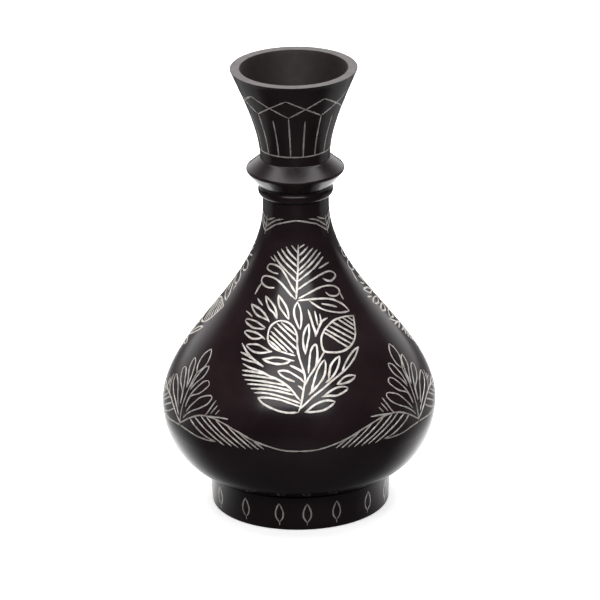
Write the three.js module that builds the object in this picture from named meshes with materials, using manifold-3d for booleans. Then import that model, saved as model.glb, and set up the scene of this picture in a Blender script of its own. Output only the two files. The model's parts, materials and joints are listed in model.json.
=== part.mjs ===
// A black burnished clay vase, thrown in sections that are luted together with slip,
// with engraved lines that are filled with silver.
// Millimetres, +Z up. The origin is the centre of the foot's underside, and -Y is the front.

import * as THREE from "three";
import { mergeVertices } from "three/addons/utils/BufferGeometryUtils.js";
import Module from "manifold-3d";

// ---------------------------------------------------------------- driving dimensions

// Foot ring: the plain band that the vase stands on.
const FOOT_RADIUS = 38.7; // at the bottom
const FOOT_FLARE = 0.7; // how much wider its top is
const FOOT_HEIGHT = 15.7;
const FOOT_EDGE = 0.8; // chamfer where it meets the table
const FOOT_WALL = 5.5;

// Bowl and shoulder: the round body.
const BELLY_RADIUS = 59.8; // at the widest ring
const BELLY_RISE = 31.3; // from the foot's top to the widest ring
const BOWL_ROOT = 0.55; // upright step where the bowl leaves the foot
const BOWL_CORE_RADIUS = 33; // the bowl's side is a quarter ellipse round this radius
const BODY_JOINT_DROP = 7; // the bowl and the shoulder meet this far below the widest ring
const SHOULDER_RISE = 91; // from the widest ring to the top of the long curve
const SHOULDER_FULLNESS = 27.8; // upright pull of that curve at the belly
const NECK_LENGTHENING = 36.5; // upright pull of that curve at the neck
const BODY_WALL = 4.2;
const FLOOR_THICKNESS = 5.5;

// Neck, with the bead that sits round it.
const NECK_RADIUS = 14.4;
const NECK_BORE_RADIUS = 9.7;
const NECK_JOINT_DROP = 12.7; // the shoulder and the neck meet this far below the curve's top
const NECK_STRAIGHT = 4.3; // upright stretch under the bead
const BEAD_HEIGHT = 4.2;
const BEAD_SWELL = 1.9; // how far it stands out from the neck
const BEAD_SEAT_DEPTH = 1.6; // how far it is let into the neck

// Collar: the sharp disc under the mouth.
const COLLAR_RADIUS = 21.3;
const COLLAR_STEM_RADIUS = 15.6;
const COLLAR_STEM_HEIGHT = 0.5;
const COLLAR_UNDERSIDE_RISE = 6.3;
const COLLAR_EDGE_HEIGHT = 1.6;
const COLLAR_TOP_RISE = 4.9;

// Mouth: the flared funnel on top.
const MOUTH_FOOT_RADIUS = 15.2;
const MOUTH_HEIGHT = 40.2;
const MOUTH_UPRIGHT_PULL = 11.9;
const MOUTH_FLARE_RUN = 5.9; // the outside's last pull: out by this much
const MOUTH_FLARE_RISE = 14; // and up by this much
const RIM_RADIUS = 27.7;
const RIM_WALL = 4.2;

// Engraved lines and their silver.
const SILVER_HALF_WIDTH = 0.55; // from the line's middle to its corner
const SILVER_SINK = 0.25; // the line's middle lies this far under the surface
const CLEARANCE = 0.3; // between the silver and its groove, and round the bead's seat

const ROUND_STEPS = 32; // flats round each turned piece

// ---------------------------------------------------------------- levels that follow

const footTop = FOOT_HEIGHT;
const footTopRadius = FOOT_RADIUS + FOOT_FLARE;
const floorTop = footTop + FLOOR_THICKNESS;
const bellyLevel = footTop + BELLY_RISE;
const bodyJoint = bellyLevel - BODY_JOINT_DROP;
const shoulderTop = bellyLevel + SHOULDER_RISE;
const neckJoint = shoulderTop - NECK_JOINT_DROP;
const beadSeat = shoulderTop + NECK_STRAIGHT;
const collarSeat = beadSeat + BEAD_HEIGHT;
const mouthSeat =
  collarSeat + COLLAR_STEM_HEIGHT + COLLAR_UNDERSIDE_RISE + COLLAR_EDGE_HEIGHT + COLLAR_TOP_RISE;
const rimLevel = mouthSeat + MOUTH_HEIGHT;

const bowlReach = BELLY_RADIUS - BOWL_CORE_RADIUS;
const bowlStart = Math.acos((footTopRadius - BOWL_CORE_RADIUS) / bowlReach);
const bowlDrop = (BELLY_RISE - BOWL_ROOT) / Math.sin(bowlStart);
const hollowDrop = bellyLevel - floorTop;
const hollowReach = bowlReach - BODY_WALL;

// ---------------------------------------------------------------- outlines, as (radius, level)

const dot = (radius, level) => new THREE.Vector2(radius, level);

const shoulderOutside = new THREE.CubicBezierCurve(
  dot(BELLY_RADIUS, bellyLevel),
  dot(BELLY_RADIUS, bellyLevel + SHOULDER_FULLNESS),
  dot(NECK_RADIUS, shoulderTop - NECK_LENGTHENING),
  dot(NECK_RADIUS, shoulderTop),
);
const shoulderInside = new THREE.CubicBezierCurve(
  dot(BELLY_RADIUS - BODY_WALL, bellyLevel),
  dot(BELLY_RADIUS - BODY_WALL, bellyLevel + SHOULDER_FULLNESS - BODY_WALL / 2),
  dot(NECK_BORE_RADIUS, shoulderTop - NECK_LENGTHENING - BODY_WALL / 2),
  dot(NECK_BORE_RADIUS, shoulderTop),
);
const mouthOutside = new THREE.CubicBezierCurve(
  dot(MOUTH_FOOT_RADIUS, mouthSeat),
  dot(MOUTH_FOOT_RADIUS, mouthSeat + MOUTH_UPRIGHT_PULL),
  dot(RIM_RADIUS - MOUTH_FLARE_RUN, rimLevel - MOUTH_FLARE_RISE),
  dot(RIM_RADIUS, rimLevel),
);
const mouthInside = new THREE.CubicBezierCurve(
  dot(NECK_BORE_RADIUS, mouthSeat),
  dot(NECK_BORE_RADIUS, mouthSeat + MOUTH_UPRIGHT_PULL),
  dot(RIM_RADIUS - MOUTH_FLARE_RUN - RIM_WALL, rimLevel - MOUTH_FLARE_RISE),
  dot(RIM_RADIUS - RIM_WALL, rimLevel),
);

// How far along a rising curve a level lies, from 0 to 1.
function shareAt(curve, level) {
  let low = 0;
  let high = 1;
  for (let halving = 0; halving < 40; halving++) {
    const middle = (low + high) / 2;
    if (curve.getPoint(middle).y < level) low = middle;
    else high = middle;
  }
  return (low + high) / 2;
}

// Points of a curve between two shares, both ends included.
function stretch(curve, from, to, steps) {
  return Array.from({ length: steps + 1 }, (_, i) => curve.getPoint(from + ((to - from) * i) / steps));
}

// Points of the body's quarter ellipse between two levels below the belly.
function ellipseStretch(reach, drop, fromLevel, toLevel, steps) {
  const angleAt = (level) => Math.asin((bellyLevel - level) / drop);
  const from = angleAt(fromLevel);
  const to = angleAt(toLevel);
  return Array.from({ length: steps + 1 }, (_, i) => {
    const angle = from + ((to - from) * i) / steps;
    return dot(BOWL_CORE_RADIUS + reach * Math.cos(angle), bellyLevel - drop * Math.sin(angle));
  });
}

// The outside's radius at a level, for placing the decoration.
function surfaceRadius(level) {
  if (level < footTop) return FOOT_RADIUS + (FOOT_FLARE * Math.max(level, 0)) / FOOT_HEIGHT;
  if (level < bellyLevel) {
    const fall = Math.min((bellyLevel - level) / bowlDrop, 1);
    return BOWL_CORE_RADIUS + bowlReach * Math.sqrt(1 - fall * fall);
  }
  if (level < shoulderTop) return shoulderOutside.getPoint(shareAt(shoulderOutside, level)).x;
  if (level < mouthSeat) return NECK_RADIUS;
  return mouthOutside.getPoint(shareAt(mouthOutside, level)).x;
}

// ---------------------------------------------------------------- solids

const wasm = await Module();
wasm.setup();

// A closed geometry as a solid that can be joined and cut.
function solid(geometry) {
  const bare = geometry.index ? geometry.toNonIndexed() : geometry.clone();
  bare.deleteAttribute("normal");
  bare.deleteAttribute("uv");
  const merged = mergeVertices(bare, 1e-4);
  return new wasm.Manifold(
    new wasm.Mesh({
      numProp: 3,
      vertProperties: merged.attributes.position.array,
      triVerts: new Uint32Array(merged.index.array),
    }),
  );
}

const joined = (solids) => solids.reduce((whole, piece) => whole.add(piece));

const vase = new THREE.Group();

const burnishedClay = new THREE.MeshStandardMaterial({ color: 0x1f1b1c, roughness: 0.35, metalness: 0 });
const silver = new THREE.MeshStandardMaterial({ color: 0xc9c4c2, roughness: 0.35, metalness: 0.9 });

function addPiece(name, piece, material) {
  const mesh = piece.getMesh();
  const geometry = new THREE.BufferGeometry();
  geometry.setAttribute("position", new THREE.BufferAttribute(mesh.vertProperties, 3));
  geometry.setIndex(new THREE.BufferAttribute(mesh.triVerts, 1));
  geometry.computeVertexNormals();
  const made = new THREE.Mesh(geometry, material);
  made.name = name;
  vase.add(made);
}

// A ring or bowl turned from an outline that runs up the outside and back down the inside.
function turned(outline) {
  const closed = outline[0].x === 0 ? outline : [...outline, outline[0].clone()];
  return solid(new THREE.LatheGeometry(closed, ROUND_STEPS).rotateX(Math.PI / 2));
}

// ---------------------------------------------------------------- engraved lines

// A point on the outside: degrees round from the front, towards +X, and a level.
function onPot(degrees, level) {
  const radius = surfaceRadius(level) - SILVER_SINK;
  const angle = THREE.MathUtils.degToRad(degrees);
  return new THREE.Vector3(radius * Math.sin(angle), -radius * Math.cos(angle), level);
}

// The motifs on the body are drawn flat, on a card that leans back with the shoulder,
// and carried straight onto the clay. Across and up are in millimetres on the card.
// Up 0 lands on the widest ring, and the drawing grows with the belly and the shoulder.
const CARD_LEAN = THREE.MathUtils.degToRad(21);
const DRAWN_BELLY_RADIUS = 59.8;
const DRAWN_SHOULDER = 78.3;
const acrossScale = BELLY_RADIUS / DRAWN_BELLY_RADIUS;
const upScale = (neckJoint - bellyLevel) / DRAWN_SHOULDER;

function onCard([across, up], turn) {
  const x = across * acrossScale;
  const y = up * upScale;
  const foot = bellyLevel - BELLY_RADIUS * Math.tan(CARD_LEAN);
  const pointAt = (forward) =>
    new THREE.Vector3(
      x,
      y * Math.sin(CARD_LEAN) - forward * Math.cos(CARD_LEAN),
      foot + y * Math.cos(CARD_LEAN) + forward * Math.sin(CARD_LEAN),
    );
  const isOutside = (point) => Math.hypot(point.x, point.y) > surfaceRadius(point.z) - SILVER_SINK;
  let outside = 2 * BELLY_RADIUS;
  let inside = outside;
  while (inside > 0 && isOutside(pointAt(inside))) {
    outside = inside;
    inside -= 1;
  }
  for (let halving = 0; halving < 20; halving++) {
    const middle = (outside + inside) / 2;
    if (isOutside(pointAt(middle))) outside = middle;
    else inside = middle;
  }
  return pointAt(inside).applyAxisAngle(new THREE.Vector3(0, 0, 1), THREE.MathUtils.degToRad(turn));
}

// A square bar along a line. The groove is the same bar, larger by the clearance all round.
function bar(points, steps, halfWidth) {
  const section = new THREE.Shape([
    dot(halfWidth, 0),
    dot(0, halfWidth),
    dot(-halfWidth, 0),
    dot(0, -halfWidth),
  ]);
  const path = new THREE.CatmullRomCurve3(points, false, "centripetal");
  return solid(new THREE.ExtrudeGeometry(section, { steps, bevelEnabled: false, extrudePath: path }));
}

const GROOVE_HALF_WIDTH = SILVER_HALF_WIDTH + CLEARANCE * Math.SQRT2;

// The same line, longer by the clearance at both ends.
function overrun(points) {
  const away = (end, next) => end.clone().add(end.clone().sub(next).setLength(CLEARANCE));
  const last = points.length - 1;
  return [away(points[0], points[1]), ...points.slice(1, last), away(points[last], points[last - 1])];
}

// Strokes are [points, steps]. The silver and the groove of one piece, each as one solid.
function inlay(strokes) {
  return {
    silver: joined(strokes.map(([points, steps]) => bar(points, steps, SILVER_HALF_WIDTH))),
    groove: joined(strokes.map(([points, steps]) => bar(overrun(points), steps, GROOVE_HALF_WIDTH))),
  };
}

const drawn = (points, turn) => points.map((point) => onCard(point, turn));

// ---------------------------------------------------------------- mouth lattice

// Nine upright lines stand on a ring. From their tops one zigzag goes twice round the mouth,
// so that its lines cross: each low corner is joined to the high corners on both sides.
const LATTICE_COUNT = 9;
const LATTICE_TURN = -7; // degrees from the front to the nearest upright line
const RING_SHARE = 0.11; // levels, as shares of the mouth's height
const LOW_CORNER_SHARE = 0.609;
const HIGH_CORNER_SHARE = 0.824;
const latticeLevel = (share) => mouthSeat + share * MOUTH_HEIGHT;

function mouthLattice() {
  const pitch = 360 / LATTICE_COUNT;
  const strokes = [];
  for (let k = 0; k < LATTICE_COUNT; k++) {
    const upright = [0, 0.5, 1].map((share) =>
      onPot(LATTICE_TURN + k * pitch, latticeLevel(RING_SHARE + (LOW_CORNER_SHARE - RING_SHARE) * share)),
    );
    strokes.push([upright, 2]);
  }
  // A step is half a slant, so every other step is a corner, low and high by turns.
  const stepLevels = [0, 0.5, 1, 0.5];
  const zigzag = (step) => {
    const share = LOW_CORNER_SHARE + (HIGH_CORNER_SHARE - LOW_CORNER_SHARE) * stepLevels[step % 4];
    return onPot(LATTICE_TURN + (step * pitch) / 2, latticeLevel(share));
  };
  const onceRound = 2 * LATTICE_COUNT;
  for (const first of [0, onceRound]) {
    const points = Array.from({ length: onceRound + 1 }, (_, step) => zigzag(first + step));
    strokes.push([points, onceRound]);
  }
  const made = inlay(strokes);
  const ring = (halfWidth) => {
    const level = latticeLevel(RING_SHARE);
    const radius = surfaceRadius(level) - SILVER_SINK;
    return turned([
      dot(radius, level - halfWidth),
      dot(radius + halfWidth, level),
      dot(radius, level + halfWidth),
      dot(radius - halfWidth, level),
    ]);
  };
  return {
    silver: made.silver.add(ring(SILVER_HALF_WIDTH)),
    groove: made.groove.add(ring(GROOVE_HALF_WIDTH)),
  };
}

// ---------------------------------------------------------------- neck band

// Three sprigs stand between the medallions, joined by arches.
const SPRIG_TURN = 60;
const neckLevel = (share) => neckJoint + share * (beadSeat - neckJoint);

function neckBand() {
  const strokes = [];
  for (let third = 0; third < 3; third++) {
    const turn = SPRIG_TURN + third * 120;
    const arch = [0, 20, 40, 60, 80, 100, 120].map((degrees) =>
      onPot(turn + degrees, neckLevel(0.12 + 0.45 * Math.sin((Math.PI * degrees) / 120))),
    );
    strokes.push([arch, 6]);
    strokes.push([[0.12, 0.56].map((share) => onPot(turn, neckLevel(share))), 1]);
  }
  return inlay(strokes);
}

// ---------------------------------------------------------------- medallions

const MEDALLION_COUNT = 3;
const MEDALLION_MIDDLE = 34.5; // up the card, where the medallion's own zero lies
const onMedallion = (points) => points.map(([across, up]) => [across, up + MEDALLION_MIDDLE]);

// The spine of the feather on top, with two of its barbs, a curl on each side and the
// upper side of the big leaf on the right.
const CREST_STROKES = [
  [[[0.7, 53.5], [0.5, 45], [0, 37], [-0.5, 29.3]], 2],
  [[[-8.3, 50.8], [0, 40.8]], 1],
  [[[10.2, 50], [0.3, 40]], 1],
  [[[-15.2, 38.7], [-12, 40], [-7, 37], [-0.5, 29.8]], 3],
  [[[17.8, 34], [14, 35.6], [8.5, 34.3], [0, 30]], 3],
  [[[-0.5, 29.3], [10, 30], [17, 28.8], [22.3, 24.6]], 3],
];

// The main stem, with a round fruit on the left, an acorn on the right and a frond below it.
const STEM_STROKES = [
  [[[-1.7, 17.5], [-0.4, 11], [0.3, 5], [2.2, 0], [2.7, -6], [1.3, -13], [-0.5, -18.7]], 5],
  [[[-1.2, 17.5], [-7, 20.7], [-12, 18], [-13, 14.5], [-10, 8.7], [0.2, 5.2]], 6],
  [[[23.8, 21.8], [16, 20.7], [10, 13], [11.3, 7.2], [16.5, 6.7], [24, 11.5], [24.6, 20]], 7],
  [[[12.8, 9.6], [2.7, -6.4]], 1],
  [[[0.3, -17.3], [10, -9], [20.5, -0.5], [26, 9]], 3],
];

// Free leaves, each by its tip, its base and how far its sides bow out.
const MEDALLION_LEAVES = [
  { tip: [-8.2, 32], base: [-4, 21.3], bow: 1.9 },
  { tip: [-19.9, 28.2], base: [-12.3, 20.3], bow: 1.8 },
  { tip: [-23.1, 16.5], base: [-14.4, 13], bow: 1.7 },
  { tip: [21, -8.3], base: [10, -12.2], bow: 1.7 },
];

const LEAF_HALF_OPENING = 1; // at the base, where the outline is left open
const LEAF_STEPS = 2;

// A leaf's outline as two sides, from the base to the tip, that cross at the tip.
function leafSides({ tip, base, bow }) {
  const along = dot(tip[0] - base[0], tip[1] - base[1]);
  const out = dot(-along.y, along.x).normalize();
  const at = (share, offset) => [
    base[0] + along.x * share + out.x * offset,
    base[1] + along.y * share + out.y * offset,
  ];
  return [-1, 1].map((side) => [at(0, side * LEAF_HALF_OPENING), at(0.45, side * bow), at(1, 0)]);
}

const leafStrokes = (sides, turn) => sides.map((points) => [drawn(points, turn), LEAF_STEPS]);

// ---------------------------------------------------------------- belly garland

// One line swags round the belly, low under each medallion and high beside each spray.
// Given for half a third: degrees from the medallion's middle, and height over the widest ring.
const SWAG = [[0, -1.1], [14, 1], [26, 5.3], [40, 8.6], [53, 5.6], [60, 1]];
const SPRAY_STEM = [[[0, 1], [0, 10], [0.8, 24.5]], 2];
const SPRAY_TIP_FOOT = [[[-0.4, 24], [2, 24.6]], 1]; // joins the stem to the tip leaf's two sides
const SPRAY_TIP_LEAF = { tip: [1.7, 36], base: [0.8, 24.3], bow: 2.6 };
const SPRAY_LEAF = { tip: [15.5, 18.5], base: [4.2, 6.8], bow: 2.4 };

const heightShare = upScale; // heights on the belly grow with the shoulder

function garland() {
  const strokes = [];
  for (let k = 0; k < MEDALLION_COUNT; k++) {
    const turn = (360 * k) / MEDALLION_COUNT;
    for (const side of [-1, 1]) {
      const at = (degrees, height) => onPot(turn + side * degrees, bellyLevel + height * heightShare);
      strokes.push([SWAG.map(([degrees, height]) => at(degrees, height)), 6]);
    }
    const sprayTurn = turn + 180 / MEDALLION_COUNT;
    for (const [points, steps] of [SPRAY_STEM, SPRAY_TIP_FOOT])
      strokes.push([drawn(points, sprayTurn), steps]);
    strokes.push(...leafStrokes(leafSides(SPRAY_TIP_LEAF), sprayTurn));
  }
  return inlay(strokes);
}

// ---------------------------------------------------------------- foot petals

// Sixteen pointed petals, the front ones spaced by eye.
const FRONT_PETALS = [-64, -38, -14, 4, 23.5, 48.5];
const PETAL_COUNT = 16;
const PETAL_HALF_WIDTH = 2.5; // degrees
const PETAL_BASE_SHARE = 0.2; // levels, as shares of the foot's height
const PETAL_TIP_SHARE = 0.81;

function petalAngles() {
  const last = FRONT_PETALS[FRONT_PETALS.length - 1];
  const open = 360 + FRONT_PETALS[0] - last;
  const rest = PETAL_COUNT - FRONT_PETALS.length;
  return [
    ...FRONT_PETALS,
    ...Array.from({ length: rest }, (_, i) => last + (open * (i + 1)) / (rest + 1)),
  ];
}

// A petal in one stroke, open at the base.
function petal(turn) {
  const at = (degrees, share) => onPot(turn + degrees, share * FOOT_HEIGHT);
  const outline = [
    at(-PETAL_HALF_WIDTH * 0.65, PETAL_BASE_SHARE),
    at(-PETAL_HALF_WIDTH, 0.5),
    at(0, PETAL_TIP_SHARE),
    at(PETAL_HALF_WIDTH, 0.5),
    at(PETAL_HALF_WIDTH * 0.65, PETAL_BASE_SHARE),
  ];
  return inlay([[outline, 4]]);
}

// ---------------------------------------------------------------- the silver pieces

const lattice = mouthLattice();
const band = neckBand();
const bellyGarland = garland();
const bodyInlays = [["belly_garland", bellyGarland]];
const footInlays = petalAngles().map((turn, i) => [`foot_petal_${i + 1}`, petal(turn)]);

for (let k = 0; k < MEDALLION_COUNT; k++) {
  const turn = (360 * k) / MEDALLION_COUNT;
  const strokesOf = (list) =>
    inlay(list.map(([points, steps]) => [drawn(onMedallion(points), turn), steps]));
  bodyInlays.push([`medallion_${k + 1}_crest`, strokesOf(CREST_STROKES)]);
  bodyInlays.push([`medallion_${k + 1}_stem`, strokesOf(STEM_STROKES)]);
  MEDALLION_LEAVES.forEach((shape, i) => {
    const sides = leafSides(shape).map(onMedallion);
    bodyInlays.push([`medallion_${k + 1}_leaf_${i + 1}`, inlay(leafStrokes(sides, turn))]);
  });
  const sprayTurn = turn + 180 / MEDALLION_COUNT;
  for (const [name, side] of [["left", -1], ["right", 1]]) {
    const mirrored = (points) => points.map(([across, up]) => [side * across, up]);
    const sides = leafSides(SPRAY_LEAF).map(mirrored);
    bodyInlays.push([`spray_${k + 1}_${name}_leaf`, inlay(leafStrokes(sides, sprayTurn))]);
  }
}

// ---------------------------------------------------------------- the clay pieces

// The clay with its grooves cut. A loose chip smaller than a grain of sand is brushed away.
function engraved(clay, inlays) {
  const cut = clay.subtract(joined(inlays.map((made) => made.groove)));
  return cut.decompose().reduce((most, body) => (body.volume() > most.volume() ? body : most));
}

const footRing = turned([
  dot(FOOT_RADIUS - FOOT_EDGE, 0),
  dot(FOOT_RADIUS, FOOT_EDGE),
  dot(footTopRadius, footTop),
  dot(footTopRadius - FOOT_WALL, footTop),
  dot(FOOT_RADIUS - FOOT_WALL, FOOT_EDGE),
  dot(FOOT_RADIUS - FOOT_WALL + FOOT_EDGE, 0),
]);

const bellyBowl = turned([
  dot(0, footTop),
  dot(footTopRadius, footTop),
  ...ellipseStretch(bowlReach, bowlDrop, footTop + BOWL_ROOT, bodyJoint, 5),
  ...ellipseStretch(hollowReach, hollowDrop, bodyJoint, floorTop, 4),
  dot(0, floorTop),
]);

const neckShare = shareAt(shoulderOutside, neckJoint);
const boreShare = shareAt(shoulderInside, neckJoint);
const shoulder = turned([
  ...ellipseStretch(bowlReach, bowlDrop, bodyJoint, bellyLevel, 1),
  ...stretch(shoulderOutside, 0, neckShare, 9).slice(1),
  ...stretch(shoulderInside, boreShare, 0, 7),
  ...ellipseStretch(hollowReach, hollowDrop, bellyLevel, bodyJoint, 1).slice(1),
]);

const neckSeatRadius = NECK_RADIUS - BEAD_SEAT_DEPTH;
const neck = turned([
  ...stretch(shoulderOutside, neckShare, 1, 2),
  dot(NECK_RADIUS, beadSeat),
  dot(neckSeatRadius, beadSeat),
  dot(neckSeatRadius, collarSeat),
  dot(NECK_BORE_RADIUS, collarSeat),
  ...stretch(shoulderInside, 1, boreShare, 1),
]);

const neckBead = turned([
  dot(neckSeatRadius + CLEARANCE, beadSeat),
  dot(NECK_RADIUS, beadSeat),
  dot(NECK_RADIUS + BEAD_SWELL * 0.55, beadSeat + BEAD_HEIGHT * 0.12),
  dot(NECK_RADIUS + BEAD_SWELL * 0.9, beadSeat + BEAD_HEIGHT * 0.3),
  dot(NECK_RADIUS + BEAD_SWELL, beadSeat + BEAD_HEIGHT * 0.5),
  dot(NECK_RADIUS + BEAD_SWELL * 0.85, beadSeat + BEAD_HEIGHT * 0.85),
  dot(COLLAR_STEM_RADIUS, collarSeat),
  dot(neckSeatRadius + CLEARANCE, collarSeat),
]);

const collarEdge = collarSeat + COLLAR_STEM_HEIGHT + COLLAR_UNDERSIDE_RISE;
const collar = turned([
  dot(COLLAR_STEM_RADIUS, collarSeat),
  dot(COLLAR_STEM_RADIUS, collarSeat + COLLAR_STEM_HEIGHT),
  dot(COLLAR_RADIUS - COLLAR_EDGE_HEIGHT / 4, collarEdge),
  dot(COLLAR_RADIUS, collarEdge + COLLAR_EDGE_HEIGHT / 2),
  dot(COLLAR_RADIUS - COLLAR_EDGE_HEIGHT / 4, collarEdge + COLLAR_EDGE_HEIGHT),
  dot(MOUTH_FOOT_RADIUS, mouthSeat),
  dot(NECK_BORE_RADIUS, mouthSeat),
  dot(NECK_BORE_RADIUS, collarSeat),
]);

const mouth = turned([...stretch(mouthOutside, 0, 1, 6), ...stretch(mouthInside, 1, 0, 4)]);

addPiece("foot_ring", engraved(footRing, footInlays.map(([, made]) => made)), burnishedClay);
addPiece("belly_bowl", bellyBowl, burnishedClay);
addPiece("shoulder", engraved(shoulder, bodyInlays.map(([, made]) => made)), burnishedClay);
addPiece("neck", engraved(neck, [band]), burnishedClay);
addPiece("neck_bead", neckBead, burnishedClay);
addPiece("collar", collar, burnishedClay);
addPiece("mouth", engraved(mouth, [lattice]), burnishedClay);

addPiece("mouth_lattice", lattice.silver, silver);
addPiece("neck_band", band.silver, silver);
for (const [name, made] of [...bodyInlays, ...footInlays]) addPiece(name, made.silver, silver);

export default vase;
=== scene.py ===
# %% [markdown]
# # A black clay vase with silver line work
# The vase is turned on a wheel, rubbed with a stone until it shines, and fired in smoke, which
# turns the clay black. The maker then cuts fine lines and rubs a soft silver metal into them.
# This lesson turns each clay piece from an outline, then lays every silver line on the clay.

# %% Load the frame
import json
import math

import bpy
import numpy as np
from mathutils import Matrix, Vector, noise

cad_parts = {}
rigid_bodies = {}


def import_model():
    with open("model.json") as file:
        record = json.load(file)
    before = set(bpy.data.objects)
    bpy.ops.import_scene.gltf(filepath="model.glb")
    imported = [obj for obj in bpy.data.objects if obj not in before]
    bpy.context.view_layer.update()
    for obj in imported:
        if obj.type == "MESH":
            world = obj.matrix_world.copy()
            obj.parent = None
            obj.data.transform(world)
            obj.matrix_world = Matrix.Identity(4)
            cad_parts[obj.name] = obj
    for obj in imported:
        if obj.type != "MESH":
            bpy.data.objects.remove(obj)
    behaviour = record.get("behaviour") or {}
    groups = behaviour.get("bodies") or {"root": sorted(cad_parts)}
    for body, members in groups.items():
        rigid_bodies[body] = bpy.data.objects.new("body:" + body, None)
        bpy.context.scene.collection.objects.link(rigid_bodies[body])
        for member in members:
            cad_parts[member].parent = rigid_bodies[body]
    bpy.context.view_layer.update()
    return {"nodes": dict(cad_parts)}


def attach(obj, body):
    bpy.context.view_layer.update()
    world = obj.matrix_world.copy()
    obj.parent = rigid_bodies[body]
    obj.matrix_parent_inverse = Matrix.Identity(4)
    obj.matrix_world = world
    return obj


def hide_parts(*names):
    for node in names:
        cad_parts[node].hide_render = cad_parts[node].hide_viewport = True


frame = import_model()
MM = 0.001
print("frame nodes:", len(frame["nodes"]))

# %% [markdown]
# ## Sizes
# All sizes are in millimetres, and heights are measured from the table. The names follow the
# potter's words: foot, belly, shoulder, neck, bead, collar and mouth. A level is a height, and a
# seat is the level on which the next piece stands.

# %% Sizes of the turned body
FOOT_HEIGHT = 15.7
FOOT_RADIUS = 38.7  # at the table
FOOT_TOP_RADIUS = 39.4
FOOT_WALL = 5.5
BELLY_LEVEL = 47  # the widest ring
BELLY_RADIUS = 59.8
BODY_WALL = 4.2
FLOOR_LEVEL = 21.2  # the inside of the bowl's floor
BODY_JOINT = 40  # between bowl and shoulder
NECK_JOINT = 125.3  # between shoulder and neck
SHOULDER_TOP = 138
BEAD_SEAT = 142.3
COLLAR_SEAT = 146.5
MOUTH_SEAT = 159.8
RIM_LEVEL = 200
NECK_RADIUS = 14.4
NECK_BORE = 9.7
NECK_SEAT_RADIUS = 12.8  # the narrower end of the neck, which the bead slips over
BEAD_CLEARANCE = 0.3
MOUTH_FOOT_RADIUS = 15.2
RIM_RADIUS = 27.7
RIM_WALL = 4.2
RIM_EDGE = 0.4  # how far the rim's two edges are softened
BOWL_CORE = 33  # radius of the flat middle of the bowl, before it curves up
ARC = 0.5523  # handle length of a quarter ellipse, as a share of its radius
print("height:", RIM_LEVEL, "mm, widest:", 2 * BELLY_RADIUS, "mm")

# %% [markdown]
# ## Outlines
# A turned piece is a half section swept round. Each outline here is a Bezier curve: `("to", point)`
# is a straight side, and `("arc", handle, handle, point)` is a curved one. De Casteljau's rule
# cuts a curve in two at a given height, so that neighbouring pieces share one smooth line.


# %% Cutting a Bezier curve at a height
def mix(a, b, share):
    return (a[0] + (b[0] - a[0]) * share, a[1] + (b[1] - a[1]) * share)


def split(curve, share):
    a, b, c, d = curve
    ab, bc, cd = mix(a, b, share), mix(b, c, share), mix(c, d, share)
    abc, bcd = mix(ab, bc, share), mix(bc, cd, share)
    middle = mix(abc, bcd, share)
    return (a, ab, abc, middle), (middle, bcd, cd, d)


def share_at(curve, level):
    low, high = 0.0, 1.0
    rising = curve[3][1] > curve[0][1]
    for _ in range(40):
        middle = (low + high) / 2
        point = split(curve, middle)[0][3]
        if (point[1] < level) == rising:
            low = middle
        else:
            high = middle
    return (low + high) / 2


def part_of(curve, start, end):
    """The stretch of a curve between two heights, from start to end."""
    if (curve[3][1] > curve[0][1]) != (end > start):
        curve = curve[::-1]
    after = split(curve, share_at(curve, start))[1] if abs(curve[0][1] - start) > 1e-6 else curve
    if abs(curve[3][1] - end) < 1e-6:
        return after
    return split(after, share_at(after, end))[0]


def quarter(core, level, reach, drop):
    """A quarter ellipse from the bottom of the bowl out to the belly's widest ring."""
    return (
        (core, level - drop),
        (core + reach * ARC, level - drop),
        (core + reach, level - drop * ARC),
        (core + reach, level),
    )


# %% The curves of the body
def shoulder_curve(low_radius, high_radius, low_handle, high_handle):
    """From the widest ring up to the neck. The two handles are levels."""
    return (
        (low_radius, BELLY_LEVEL),
        (low_radius, low_handle),
        (high_radius, high_handle),
        (high_radius, SHOULDER_TOP),
    )


MOUTH_UPRIGHT_LEVEL = 171.7
FLARE_LEVEL = 186
FLARE = 5.9


def mouth_curve(foot_radius, rim_radius):
    """Upright at its foot, and flared at the rim."""
    return (
        (foot_radius, MOUTH_SEAT),
        (foot_radius, MOUTH_UPRIGHT_LEVEL),
        (rim_radius - FLARE, FLARE_LEVEL),
        (rim_radius, RIM_LEVEL),
    )


HOLLOW_RADIUS = BELLY_RADIUS - BODY_WALL
INNER_RIM_RADIUS = RIM_RADIUS - RIM_WALL
BOWL_DEPTH = 31.67  # from the widest ring down to the bowl's flat underside
BOWL_OUT = quarter(BOWL_CORE, BELLY_LEVEL, BELLY_RADIUS - BOWL_CORE, BOWL_DEPTH)
BOWL_IN = quarter(BOWL_CORE, BELLY_LEVEL, HOLLOW_RADIUS - BOWL_CORE, BELLY_LEVEL - FLOOR_LEVEL)
SHOULDER_OUT = shoulder_curve(BELLY_RADIUS, NECK_RADIUS, 74.8, 101.5)
SHOULDER_IN = shoulder_curve(HOLLOW_RADIUS, NECK_BORE, 72.7, 99.4)
MOUTH_OUT = mouth_curve(MOUTH_FOOT_RADIUS, RIM_RADIUS)
MOUTH_IN = mouth_curve(NECK_BORE, INNER_RIM_RADIUS)
joint_radius = part_of(BOWL_OUT, BODY_JOINT, BELLY_LEVEL)[0][0]
print("bowl meets shoulder at radius", round(joint_radius, 2))

# %% [markdown]
# ## One helper for every turned piece
# The outline becomes a Bezier curve object, is converted to a line of vertices, thinned where it
# is straight, and spun in edit mode. Spinning leaves doubled vertices at the seam and may turn
# the faces inwards, so doubles are merged and the normals recalculated.


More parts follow.
